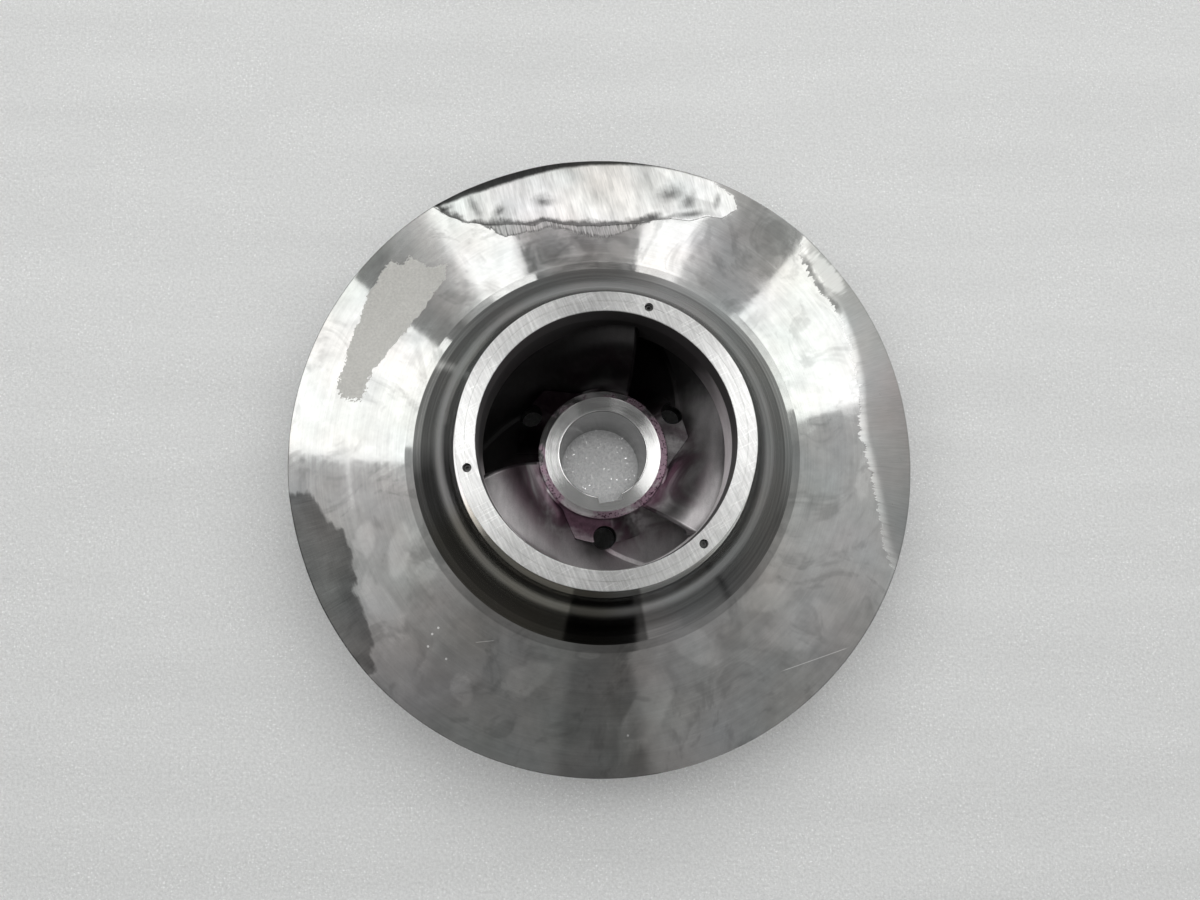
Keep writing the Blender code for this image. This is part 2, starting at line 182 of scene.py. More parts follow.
# Marks on the front shroud, as (x, y, length, width) in millimetres and the turn of the length in degrees
DENTS = (
    (-32, 136, 8, 6, 0), (-55, 130, 8, 4, 60), (36, 141, 12, 7, 20), (-68, 132, 15, 3.5, 115), (46, 137, 9, 5, 60),
    (27, 127, 6, 3, 30), (61, 137, 7, 3, 80), (47, 129, 12, 3, 8), (-84, 131, 7, 2.5, 20),
)
FOGGED = (
    (-119, -45, 13, 7, 70), (-101, -49, 18, 7, 80), (-87, -59, 9, 6, 50), (-69, -117, 9, 6, 110), (80, -73, 15, 8, 10),
    (98, -86, 24, 13, 20), (-7, -100, 7, 2.5, 0), (21, -128, 30, 10, 60), (-38, -112, 16, 9, 30),
    (133, -11, 14, 5, 80), (-108, -78, 22, 8, 120), (45, -96, 18, 9, 150),
)
SHADED = ((108, 98, 13, 5, 110), (114, 88, 9, 5, 125), (121, 80, 8, 4, 130))
SHINING = ((119, 97, 17, 7, 129),)
AREAS = {
    "cast_patch": CAST_PATCH, "ground_top": GROUND_TOP, "ground_step": GROUND_STEP, "ground_right": GROUND_RIGHT,
    "ground_left": GROUND_LEFT, "rolled_edge": ROLLED_EDGE,
}
MARKS = {"dents": DENTS, "fogged": FOGGED, "shaded": SHADED, "shining": SHINING}
SPECKS = ((-81, -87), (-84, -90), (-86, -96), (-77, -102), (12, -139))
SCRATCHES = (((87, -109), (124, -97)), ((-63, -94), (-53, -93)))


def rounded(corners, radii, count=4, support=0.0004):
    """A closed run of (radius, height) corners, with arcs where a corner has a radius."""
    points = []
    total = len(corners)
    for i, corner in enumerate(corners):
        here = Vector(corner)
        bend = radii[i]
        if not bend:
            points.append(tuple(here))
            continue
        before = Vector(corners[i - 1]) - here
        after = Vector(corners[(i + 1) % total]) - here
        room_before, room_after = before.length, after.length
        before.normalize()
        after.normalize()
        half = before.angle(after) / 2
        reach = bend / tan(half)
        middle = (before + after).normalized() * (bend / sin(half)) + here
        start, end = here + before * reach, here + after * reach
        if room_before > reach + 2 * support:
            points.append(tuple(here + before * (reach + support)))
        first, last = start - middle, end - middle
        for k in range(count + 1):
            share = k / count
            angle = first.angle(last)
            arm = (first * sin((1 - share) * angle) + last * sin(share * angle)) / sin(angle)
            points.append(tuple(middle + arm))
        if room_after > reach + 2 * support:
            points.append(tuple(here + after * (reach + support)))
    return points


def arc(centre, radius, start, end, count):
    """Points on an arc between two angles in degrees."""
    angles = [radians(start + (end - start) * k / count) for k in range(count + 1)]
    return [(centre[0] + radius * cos(angle), centre[1] + radius * sin(angle)) for angle in angles]


def spaced(points, step, low, high=1.0):
    """The closed run with long straight stretches split, where their radius lies between low and high."""
    out = []
    for here, there in zip(points, points[1:] + points[:1]):
        out.append(here)
        length = dist(here, there)
        parts = ceil(length / step)
        inside = low <= min(here[0], there[0]) and max(here[0], there[0]) <= high
        if parts > 1 and inside:
            for k in range(1, parts):
                share = k / parts
                out.append(tuple(a + (b - a) * share for a, b in zip(here, there)))
    return out


def linked(name, data):
    obj = bpy.data.objects.new(name, data)
    bpy.context.scene.collection.objects.link(obj)
    return obj


def mesh_object(name, points, faces):
    mesh = bpy.data.meshes.new(name)
    mesh.from_pydata(points, [], faces)
    return linked(name, mesh)


def grid(rows, columns, close_rows=False, close_columns=False, down_first=False):
    """Faces with four corners between the points of a grid, which may close on itself."""
    across = np.arange(columns if close_columns else columns - 1)
    row, column = np.meshgrid(np.arange(rows if close_rows else rows - 1), across, indexing="ij")
    below, beside = (row + 1) % rows * columns, (column + 1) % columns
    row = row * columns
    corners = [row + column, row + beside, below + beside, below + column]
    if down_first:
        corners = [corners[k] for k in (0, 3, 2, 1)]
    return [tuple(face) for face in np.stack(corners, axis=-1).reshape(-1, 4).tolist()]


def store(mesh, label, values):
    mesh.attributes.new(label, "FLOAT", "POINT").data.foreach_set("value", values)


def revolved(name, profile, steps, warp=None):
    """A closed profile, which runs down its outer side, turned round the shaft axis."""
    profile = np.array(profile)
    angles = np.arange(steps) * (2 * pi / steps)
    rows = len(profile)
    points = np.zeros((rows, steps, 3))
    points[..., 0] = profile[:, :1] * np.cos(angles)
    points[..., 1] = profile[:, :1] * np.sin(angles)
    points[..., 2] = profile[:, 1:]
    points = points.reshape(-1, 3)
    if warp:
        points = warp(points)
    return mesh_object(name, points.tolist(), grid(rows, steps, True, True, True))


def rods(radius, low, high, places, sides=32):
    bm = bmesh.new()
    for x, y in places:
        size = {"radius1": radius, "radius2": radius, "depth": high - low}
        middle = Matrix.Translation((x, y, (low + high) / 2))
        bmesh.ops.create_cone(bm, cap_ends=True, segments=sides, matrix=middle, **size)
    mesh = bpy.data.meshes.new("rods")
    bm.to_mesh(mesh)
    bm.free()
    return linked("rods", mesh)


def settle(obj, crease=32):
    """Applies the modifiers and sets smooth shading with sharp creases."""
    graph = bpy.context.evaluated_depsgraph_get()
    mesh = bpy.data.meshes.new_from_object(obj.evaluated_get(graph))
    obj.modifiers.clear()
    obj.data = mesh
    mesh.shade_smooth()
    mesh.set_sharp_from_angle(angle=radians(crease))
    return obj


def boolean(obj, other, operation="DIFFERENCE"):
    modifier = obj.modifiers.new(operation.title(), "BOOLEAN")
    modifier.operation = operation
    modifier.solver = "EXACT"
    modifier.object = other
    settle(obj)
    bpy.data.objects.remove(other)
    return obj


def under_height(radius):
    return FRONT_UNDER + (RIM_RADIUS - radius) * UNDER_SLOPE


def lip_centre():
    slope = atan(UNDER_SLOPE)
    centre = EYE_RADIUS + EYE_LIP_RADIUS
    return centre, under_height(centre) + EYE_LIP_RADIUS / cos(slope)


def floor_height(radius):
    fall = exp(-(radius - HUB_RADIUS) / FLOOR_FALL)
    last = exp(-(RIM_RADIUS - HUB_RADIUS) / FLOOR_FALL)
    return FLOOR_AT_RIM + (FLOOR_AT_HUB - FLOOR_AT_RIM) * (fall - last) / (1 - last)


def bezier(top, top_slope, bottom, bottom_slope, count):
    top, bottom = Vector(top), Vector(bottom)
    handle = (bottom - top).length / 3
    first = top + handle * Vector((cos(top_slope), -sin(top_slope)))
    second = bottom + handle * Vector((-cos(bottom_slope), sin(bottom_slope)))
    points = []
    for i in range(count + 1):
        t = i / count
        u = 1 - t
        points.append(tuple(u**3 * top + 3 * u**2 * t * first + 3 * u * t**2 * second + t**3 * bottom))
    return points


def distance_inside(outline, x, y):
    """Signed distance in millimetres to a closed outline, above zero inside it."""
    outline = np.array(outline, float)
    x, y = x * 1000, y * 1000
    nearest = np.full(x.shape, 1e9)
    inside = np.zeros(x.shape, bool)
    for (ax, ay), (bx, by) in zip(outline, np.roll(outline, -1, axis=0)):
        dx, dy = bx - ax, by - ay
        share = np.clip(((x - ax) * dx + (y - ay) * dy) / (dx * dx + dy * dy), 0, 1)
        nearest = np.minimum(nearest, np.hypot(x - ax - share * dx, y - ay - share * dy))
        crosses = (ay > y) != (by > y)
        if dy:
            inside ^= crosses & (x < ax + (y - ay) * dx / dy)
    return np.where(inside, nearest, -nearest)


def mark_strength(marks, x, y):
    """1 in the middle of the nearest mark and 0 at its outline."""
    strength = np.full(x.shape, -2.0)
    for mark_x, mark_y, length, width, turn in marks:
        c, s = cos(radians(turn)), sin(radians(turn))
        dx, dy = x * 1000 - mark_x, y * 1000 - mark_y
        away = np.hypot((dx * c + dy * s) / length, (dy * c - dx * s) / width)
        strength = np.maximum(strength, 1 - away)
    return strength


def ground_away(points):
    """Lowers the front shroud where its rim was ground to balance it, and sinks the dents there."""
    x, y, z = points.T
    radius = np.hypot(x, y)
    outside = (radius > SHOULDER_RADIUS) & (z > FRONT_UNDER + 0.0002)
    outlines = (GROUND_TOP, GROUND_RIGHT, GROUND_LEFT, ROLLED_EDGE)
    top, right, left, rolled = (distance_inside(outline, x, y) / 1000 for outline in outlines)
    ripple = np.sin(x * 330 + 2 * np.sin(y * 120)) * 0.00003 + np.sin(x * 140 + y * 90 + 1) * 0.00008
    drop = np.clip(top, 0, None) * TOP_LEAN + ripple * np.clip(top * 300, 0, 1)
    drop += np.clip(rolled, 0, ROLL_WIDTH) ** 2 * ROLL_BEND
    bend = np.clip(right, 0, RIGHT_BEND)
    drop += bend**2 * RIGHT_LEAN / (2 * RIGHT_BEND) + np.clip(right - RIGHT_BEND, 0, None) * RIGHT_LEAN
    drop += np.clip(left, 0, None) * LEFT_LEAN
    drop += np.clip(mark_strength(DENTS, x, y), 0, 1) ** 2 * DENT_DEPTH
    z = np.where(outside, np.maximum(z - drop, FRONT_UNDER + LEAST_EDGE), z)
    return np.stack((x, y, z), axis=1)


def front_shroud_piece():
    slope = degrees(atan(UNDER_SLOPE))
    outer_neck = RING_INNER - SEAT_GAP
    facet_points = [(SHOULDER_RADIUS, SHOULDER_HEIGHT)]
    for width, lean in FACETS:
        radius, height = facet_points[-1]
        facet_points.append((radius - width, height + width * tan(lean)))
    sweep = bezier((NECK_RADIUS, RING_SEAT), NECK_SLOPE, facet_points[-1], radians(30), 28)
    lip = arc(lip_centre(), EYE_LIP_RADIUS, 270 - slope, 180, 14)
    corners = [(outer_neck, RING_FACE), (outer_neck, RING_SEAT)] + sweep[:-1]
    radii = [SEAT_BEVEL, 0] + [0] * (len(sweep) - 1)
    corners += facet_points[::-1] + [(RIM_RADIUS, RIM_TOP), (RIM_RADIUS, FRONT_UNDER)] + lip
    radii += [BEVEL] * 3 + [RIM_BEVEL, BEVEL] + [0] * len(lip)
    corners.append((EYE_RADIUS, RING_FACE))
    radii.append(BEVEL)
    profile = spaced(rounded(corners, radii), 0.0009, SHOULDER_RADIUS - 0.001)
    piece = revolved("front_shroud_turned", profile, FRONT_STEPS, ground_away)
    holes = rods(SCREW_HOLE, RING_FACE - SCREW_HOLE_DEPTH, RING_FACE + CUTTER_REACH, SCREW_PLACES)
    boolean(piece, holes)
    mesh = piece.data
    places = np.zeros(len(mesh.vertices) * 3)
    mesh.vertices.foreach_get("co", places)
    x, y = places.reshape(-1, 3).T[:2]
    outside = np.hypot(x, y) > SHOULDER_RADIUS
    for label, outline in AREAS.items():
        depth = np.where(outside, distance_inside(outline, x, y), -DEPTH_LIMIT)
        store(mesh, label, np.clip(depth, -DEPTH_LIMIT, DEPTH_LIMIT))
    for label, marks in MARKS.items():
        store(mesh, label, mark_strength(marks, x, y))
    return piece


def ring_piece(name, low, high, hole_low, hole_high):
    inner = RING_INNER + SEAT_GAP
    corners = [(RING_OUTER, high), (RING_OUTER, low), (inner, low), (inner, high)]
    profile = rounded(corners, [RING_BEVEL, RING_BEVEL, SEAT_BEVEL, SEAT_BEVEL])
    piece = revolved(name, profile, RING_STEPS)
    return boolean(piece, rods(SCREW_HOLE, hole_low, hole_high, SCREW_PLACES))


def back_shroud_piece():
    outer_neck = RING_INNER - 2 * SEAT_GAP
    radii = np.linspace(HUB_RADIUS, RIM_RADIUS, 40)
    floor = [(r, floor_height(r)) for r in radii]
    fillet = arc((NECK_RADIUS + BACK_FILLET, BACK_RIM - BACK_FILLET), BACK_FILLET, 90, 180, 12)
    corners = floor + [(RIM_RADIUS, BACK_RIM)] + fillet + [(NECK_RADIUS, BACK_RING_SEAT)]
    corners += [(outer_neck, BACK_RING_SEAT), (outer_neck, BACK_RING_FACE), (EYE_RADIUS, BACK_RING_FACE)]
    corners += [(EYE_RADIUS, floor_height(EYE_RADIUS) - BACK_WALL), (HUB_RADIUS, FLOOR_AT_HUB - BACK_WALL)]
    bends = [0] * (len(floor) - 1) + [0.0006, 0.0006] + [0] * len(fillet) + [0.0004, 0, 0.0002, 0.0003, 0.002, 0.002]
    piece = revolved("back_shroud_cast", rounded(corners, bends), PLAIN_STEPS)
    low, high = floor_height(EYE_RADIUS) - BACK_WALL - CUTTER_REACH, LEDGE_HEIGHT + CUTTER_REACH
    boolean(piece, rods(BALANCE_HOLE, low, high, BALANCE_PLACES, 48))
    low, high = BACK_RING_FACE - CUTTER_REACH, BACK_RING_FACE + SCREW_HOLE_DEPTH
    return boolean(piece, rods(SCREW_HOLE, low, high, SCREW_PLACES))


def hub_piece():
    corners = [
        (HUB_RADIUS - NOSE_CHAMFER_WIDTH, NOSE_FACE),
        (HUB_RADIUS, NOSE_FACE - NOSE_CHAMFER_DROP),
        (HUB_RADIUS, 0),
        (BORE_RADIUS, 0),
        (BORE_RADIUS, NOSE_FACE),
    ]
    piece = revolved("hub_turned", rounded(corners, HUB_BEVELS), PLAIN_STEPS)
    half, low, high = KEYWAY_WIDTH / 2, -CUTTER_REACH, NOSE_FACE + CUTTER_REACH
    points = [(r, t, z) for r in (0.0, KEYWAY_REACH) for t in (-half, half) for z in (low, high)]
    faces = [(0, 1, 3, 2), (4, 6, 7, 5), (0, 4, 5, 1), (2, 3, 7, 6), (0, 2, 6, 4), (1, 5, 7, 3)]
    slot = mesh_object("keyway", points, faces)
    slot.data.transform(Matrix.Rotation(KEYWAY_ANGLE, 4, "Z"))
    return boolean(piece, outward(slot))


def lock_screw_piece(name, place, low, high, socket_up):
    """A grub screw with a hexagon socket."""
    x, y = place
    top, bottom = (high, low) if socket_up else (low, high)
    inward = -1 if socket_up else 1
    loops = (
        (SCREW_RADIUS - BEVEL, bottom, False),
        (SCREW_RADIUS, bottom - inward * BEVEL, False),
        (SCREW_RADIUS, top + inward * BEVEL, False),
        (SCREW_RADIUS - BEVEL, top, False),
        (SOCKET_RADIUS, top, True),
        (SOCKET_RADIUS, top + inward * SOCKET_DEPTH, True),
    )
    points = []
    count = 36
    for radius, height, hexagon in loops:
        for k in range(count):
            angle = 2 * pi * k / count
            spread = 1.0
            if hexagon:
                spread = cos(pi / 6) / cos((angle % (pi / 3)) - pi / 6)
            points.append((x + radius * spread * cos(angle), y + radius * spread * sin(angle), height))
    faces = grid(len(loops), count, close_columns=True)
    faces += [tuple(range(count))[::-1], tuple(range((len(loops) - 1) * count, len(loops) * count))]
    if not socket_up:
        faces = [face[::-1] for face in faces]
    return settle(mesh_object(name, points, faces))


def around(radius, angle, height=0.0):
    return Vector((radius * cos(angle), radius * sin(angle), height))


def tip_path():
    """The vane's edge along the front shroud, as (turn, radius, height) points from inlet to outlet.

    It starts on the eye's wall, goes round the lip and then follows the water side.
    """
    centre = lip_centre()
    bend = EYE_LIP_RADIUS + VANE_GAP
    slope = atan(UNDER_SLOPE)
    turn = 0.0
    step = radians(0.5)
    radius = EYE_RADIUS - VANE_GAP
    height = TIP_EDGE_HEIGHT
    along = centre[1] - TIP_EDGE_HEIGHT
    bend_length = bend * (pi / 2 - slope)
    points = [(turn, radius, height)]
    while radius < OUTLET_RADIUS:
        share = min(1.0, turn / OUTLET_TURN)
        angle = INLET_ANGLE + (OUTLET_ANGLE - INLET_ANGLE) * share
        along += radius * tan(angle) * step
        turn += step
        if along < 0:
            height = centre[1] - along
        elif along < bend_length:
            swept = pi + along / bend
            radius = centre[0] + bend * cos(swept)
            height = centre[1] + bend * sin(swept)
        else:
            end = pi + bend_length / bend
            radius = centre[0] + bend * cos(end) + (along - bend_length) * cos(slope)
            height = centre[1] + bend * sin(end) - (along - bend_length) * sin(slope)
        radius = min(radius, OUTLET_RADIUS)
        points.append((turn, radius, height))
    return points


def root_point(turn, wrap):
    start = HUB_RADIUS + VANE_GAP
    radius = start
    if turn > ROOT_LEAVES_HUB:
        share = (turn - ROOT_LEAVES_HUB) / (wrap - ROOT_LEAVES_HUB)
        radius = start * exp(log(OUTLET_RADIUS / start) * share**1.2)
    height = ROOT_EDGE_HEIGHT - ROOT_DROP * turn**2
    return radius, max(height, floor_height(radius) + VANE_GAP)


def suction_sheet():
    tip = tip_path()
    tip_wrap = tip[-1][0]
    root_wrap = TIP_EDGE_ANGLE + tip_wrap - ROOT_EDGE_ANGLE
    turns = np.array([point[0] for point in tip])
    sheet = np.zeros((STATIONS + 1, SPANS + 1, 3))
    for i in range(STATIONS + 1):
        share = (i / STATIONS) ** CROWDING
        tip_turn = share * tip_wrap
        tip_radius = np.interp(tip_turn, turns, [point[1] for point in tip])
        tip_height = np.interp(tip_turn, turns, [point[2] for point in tip])
        root_radius, root_height = root_point(share * root_wrap, root_wrap)
        fade = exp(-((tip_turn / EDGE_FADE) ** 2))
        for j in range(SPANS + 1):
            span = j / SPANS
            radius = root_radius + (tip_radius - root_radius) * span
            arch = 4 * span * (1 - span) * fade
            height = root_height + (tip_height - root_height) * span + EDGE_ARCH * arch
            root_angle = ROOT_EDGE_ANGLE + share * root_wrap
            tip_angle = TIP_EDGE_ANGLE + tip_turn
            sheet[i, j] = around(radius, root_angle + (tip_angle - root_angle) * span + EDGE_BOW * arch, height)
    return sheet


def vane_piece():
    """The vane as a loft with a rounded leading edge, and fillets where it meets the walls."""
    sheet = suction_sheet()
    along = np.gradient(sheet, axis=0)
    across = np.gradient(sheet, axis=1)
    normals = np.cross(across, along)
    normals /= np.linalg.norm(normals, axis=2, keepdims=True)
    if normals[0, 0, 2] < 0:
        normals = -normals
    root_radius = np.hypot(sheet[:, 0, 0], sheet[:, 0, 1])
    on_hub = np.clip(1 - (root_radius - HUB_RADIUS - 0.0002) / 0.003, 0, 1)
    upright = on_hub[:, None] * np.clip(1 - np.linspace(0, 1, SPANS + 1) / 0.3, 0, 1)
    normals = normals * (1 - upright[..., None]) + np.array((0, 0, 1)) * upright[..., None]
    normals /= np.linalg.norm(normals, axis=2, keepdims=True)
    share = np.linspace(0, 1, STATIONS + 1) ** CROWDING
    thickness = VANE_THIN + (VANE_THICK - VANE_THIN) * np.sin(np.pi * share) ** 0.7
    lengths = np.linalg.norm(np.diff(sheet, axis=1), axis=2)
    run = np.concatenate((np.zeros((STATIONS + 1, 1)), np.cumsum(lengths, axis=1)), axis=1)
    flare = np.zeros(run.shape)
    for fillet, distance in ((ROOT_FILLET, run), (TIP_FILLET, run[:, -1:] - run)):
        reach = np.clip(1 - distance / fillet, 0, 1)
        flare += fillet * (1 - np.sqrt(1 - 0.98 * reach**2)) * 0.8
    room = np.where(on_hub > 0.5, NOSE_FACE - 0.0008 - sheet[:, 0, 2], 1.0)
    flare = np.minimum(flare, np.maximum(room[:, None], run * 1.2))
    top = sheet + normals * flare[..., None]
    bottom = sheet - normals * (thickness[:, None] + flare)[..., None]
    radius = np.hypot(bottom[..., 0], bottom[..., 1])
    inner = np.clip((HUB_RADIUS + VANE_GAP - radius) / radius, 0, None)
    bottom[..., :2] *= 1 + inner[..., None]
    outer = np.clip((radius - OUTLET_RADIUS) / radius, 0, None)
    bottom[..., :2] *= 1 - outer[..., None]
    floor = np.vectorize(floor_height)(np.hypot(bottom[..., 0], bottom[..., 1]))
    bottom[..., 2] = np.maximum(bottom[..., 2], floor - FLOOR_SINK)
    loops = [top[i] for i in range(STATIONS, -1, -1)]
    middle = (top[0] + bottom[0]) / 2
    half = (top[0] - bottom[0]) / 2
    forward = top[0] - top[1]
    forward /= np.linalg.norm(forward, axis=1, keepdims=True)
    bulge = VANE_THIN / 2
    for k in range(1, 8):
        angle = pi * k / 8
        loops.append(middle + half * cos(angle) + forward * bulge * 0.9 * sin(angle))
    loops += [bottom[i] for i in range(STATIONS + 1)]
    points = np.array(loops).reshape(-1, 3)
    width = SPANS + 1
    faces = grid(len(loops), width, close_rows=True)
    lower = STATIONS + 8
    for side, turned_over in ((0, False), (SPANS, True)):
        caps = [tuple(i * width + side for i in range(STATIONS, lower + 1))]
        for i in range(STATIONS):
            upper_here, lower_here = STATIONS - i, lower + i
            loop = (upper_here - 1, upper_here, lower_here, lower_here + 1)
            caps.append(tuple(k * width + side for k in loop))
        faces += [cap[::-1] if turned_over else cap for cap in caps]
    return mesh_object("vane", points.tolist(), faces)


def ledge_piece():
    """The machined ledge at the vane's root, beside the hub: flat, then falling to the floor."""
    points = []
    inner = HUB_RADIUS + VANE_GAP
    for i in range(LEDGE_STATIONS + 1):
        turn = LEDGE_START + (LEDGE_FADE - LEDGE_START) * i / LEDGE_STATIONS
        fade = max(0.0, (turn - LEDGE_END) / (LEDGE_FADE - LEDGE_END))
        fall = 0.5 - 0.5 * cos(pi * fade)
        for radius, is_top in ((inner, True), (LEDGE_RADIUS, True), (LEDGE_RADIUS, False), (inner, False)):
            bottom = floor_height(radius) - FLOOR_SINK
            low_top = bottom + 2 * FLOOR_SINK
            height = LEDGE_HEIGHT + (low_top - LEDGE_HEIGHT) * fall if is_top else bottom
            points.append(tuple(around(radius, ROOT_EDGE_ANGLE + turn, height)))
    faces = grid(LEDGE_STATIONS + 1, 4, close_columns=True)
    faces += [(3, 2, 1, 0), tuple(LEDGE_STATIONS * 4 + j for j in range(4))]
    return mesh_object("ledge", points, faces)


def outward(obj):
    bm = bmesh.new()
    bm.from_mesh(obj.data)
    bmesh.ops.recalc_face_normals(bm, faces=bm.faces)
    bm.to_mesh(obj.data)
    bm.free()
    return obj


def vane_pieces():
    whole = outward(vane_piece())
    whole = boolean(whole, outward(ledge_piece()), "UNION")
    pieces = []
    for k in range(3):
        mesh = whole.data.copy()
        mesh.transform(Matrix.Rotation(k * THIRD, 4, "Z"))
        piece = linked(f"vane_{k + 1}_cast", mesh)
        holes = rods(BALANCE_HOLE, 0.02, LEDGE_HEIGHT + CUTTER_REACH, BALANCE_PLACES, 48)
        boolean(piece, holes)
        pieces.append(piece)
    bpy.data.objects.remove(whole)
    return pieces


def feed(tree, slot, value):
    """Gives a node's slot a field, a socket, a colour or a number."""
    if isinstance(value, Field):
        value = value.socket
    if isinstance(value, bpy.types.NodeSocket):
        tree.links.new(value, slot)
    else:
        slot.default_value = (*value, 1.0) if isinstance(value, tuple) else value


def tune(tree, node, values):
    """Gives a node's slots their values, by name."""
    for name, value in values.items():
        feed(tree, node.inputs[name], value)


class Field:
    """A value in a material's node tree that takes ordinary arithmetic."""

    def __init__(self, tree, socket):
        self.tree = tree
        self.socket = socket

    def math(self, operation, *others):
        node = self.tree.nodes.new("ShaderNodeMath")
        node.operation = operation
        for slot, value in zip(node.inputs, (self, *others)):
            feed(self.tree, slot, value)
        return Field(self.tree, node.outputs[0])

    def __add__(self, other):
        return self.math("ADD", other)

    def __sub__(self, other):
        return self.math("SUBTRACT", other)

    def __rsub__(self, other):
        return self.math("MULTIPLY", -1.0).math("ADD", other)

    def __mul__(self, other):
        return self.math("MULTIPLY", other)

    def __truediv__(self, other):
        return self.math("DIVIDE", other)

    def clamped(self):
        return self.math("MAXIMUM", 0.0).math("MINIMUM", 1.0)

    def between(self, low, high):
        """Smoothly 0 to 1 as the value goes from low to high."""
        node = self.tree.nodes.new("ShaderNodeMapRange")
        node.interpolation_type = "SMOOTHSTEP"
        rises = float(low < high)
        tune(self.tree, node, {"Value": self, "From Min": min(low, high), "From Max": max(low, high)})
        tune(self.tree, node, {"To Min": 1.0 - rises, "To Max": rises})
        return Field(self.tree, node.outputs["Result"])

    def mixed(self, first, second):
        """First where this is 0 and second where it is 1."""
        return (second - first) * self + first


class Surface:
    """A material with one principled shader, and the fields of place that its details are drawn with."""

    def __init__(self, name, metallic=1.0, anisotropy=0.0):
        self.material = bpy.data.materials.new(name)
        self.material.use_nodes = True
        self.tree = self.material.node_tree
        self.shader = self.tree.nodes["Principled BSDF"]
        self.give("Metallic", metallic)
        coordinates = self.tree.nodes.new("ShaderNodeTexCoord")
        self.place = coordinates.outputs["Object"]
        split = self.tree.nodes.new("ShaderNodeSeparateXYZ")
        feed(self.tree, split.inputs[0], self.place)
        self.x, self.y, self.z = (Field(self.tree, socket) for socket in split.outputs)
        self.radius = (self.x * self.x + self.y * self.y).math("SQRT")
        if anisotropy:
            self.give("Anisotropic", anisotropy)
            self.give("Anisotropic Rotation", 0.25)
            tangent = self.tree.nodes.new("ShaderNodeTangent")
            tangent.direction_type = "RADIAL"
            tangent.axis = "Z"
            self.grooves = tangent.outputs[0]
            self.give("Tangent", self.grooves)

    def give(self, name, value):
        feed(self.tree, self.shader.inputs[name], value)

    def combined(self, *values):
        node = self.tree.nodes.new("ShaderNodeCombineXYZ")
        for slot, value in zip(node.inputs, values):
            feed(self.tree, slot, value)
        return node.outputs[0]

    def noise(self, scale, detail=2.0, roughness=0.5, stretch=None, vector=None, distortion=0.0):
        node = self.tree.nodes.new("ShaderNodeTexNoise")
        if vector is None:
            vector = self.place
        if stretch is not None:
            vector = self.combined(self.x * stretch[0], self.y * stretch[1], self.z * stretch[2])
        tune(self.tree, node, {"Vector": vector, "Scale": scale, "Detail": detail})
        tune(self.tree, node, {"Roughness": roughness, "Distortion": distortion})
        return Field(self.tree, node.outputs["Fac"])

    def turned(self, across, along, detail=2.0, roughness=0.5, steep=1.0):
        """Noise drawn out along the turning marks, with a period across them in metres and a number round the part."""
        vector = self.combined(
            (self.radius - self.z * steep) * (1.0 / across),
            self.x / self.radius * (along / 6.3),
            self.y / self.radius * (along / 6.3),
        )
        return self.noise(1.0, detail, roughness, vector=vector)

    def brushed(self, turn, across, along, detail=2.0, roughness=0.6):
        """Noise drawn out in straight strokes, with their turn from the y axis in degrees."""
        c, s = cos(radians(turn)), sin(radians(turn))
        vector = self.combined((self.x * c + self.y * s) * across, (self.y * c - self.x * s) * along, 0.0)
        return self.noise(1.0, detail, roughness, vector=vector)

    def attribute(self, name):
        node = self.tree.nodes.new("ShaderNodeAttribute")
        node.attribute_name = name
        return Field(self.tree, node.outputs["Fac"])

    def speck(self, place, radius):
        """1 on a small round mark, with its place and radius in millimetres."""
        dx, dy = self.x - place[0] / 1000, self.y - place[1] / 1000
        return (dx * dx + dy * dy).math("SQRT").between(radius / 1000, radius / 2000)

    def scratch(self, start, end, width):
        """1 on a straight scratch, with its ends and width in millimetres."""
        run = dist(start, end)
        ux, uy = (end[0] - start[0]) / run, (end[1] - start[1]) / run
        dx, dy = self.x - start[0] / 1000, self.y - start[1] / 1000
        along = dx * ux + dy * uy
        aside = (dy * ux - dx * uy).math("ABSOLUTE")
        ends = along.between(0, run / 8000) * along.between(run / 1000, run / 1140)
        return aside.between(width / 1000, 0) * ends

    def color(self, value):
        self.give("Base Color", value)

    def tinted(self, shade, red=1.0, green=1.0, blue=1.0):
        return self.combined(shade * red, shade * green, shade * blue)

    def mixed_color(self, share, first, second):
        node = self.tree.nodes.new("ShaderNodeMix")
        node.data_type = "RGBA"
        for index, value in ((0, share), (6, first), (7, second)):
            feed(self.tree, node.inputs[index], value)
        return node.outputs[2]

    def roughness(self, value):
        self.give("Roughness", value.clamped())

    def relief(self, height):
        """Bumps from a height in metres."""
        node = self.tree.nodes.new("ShaderNodeBump")
        tune(self.tree, node, {"Distance": 1.0, "Strength": 1.0, "Height": height})
        self.give("Normal", node.outputs[0])


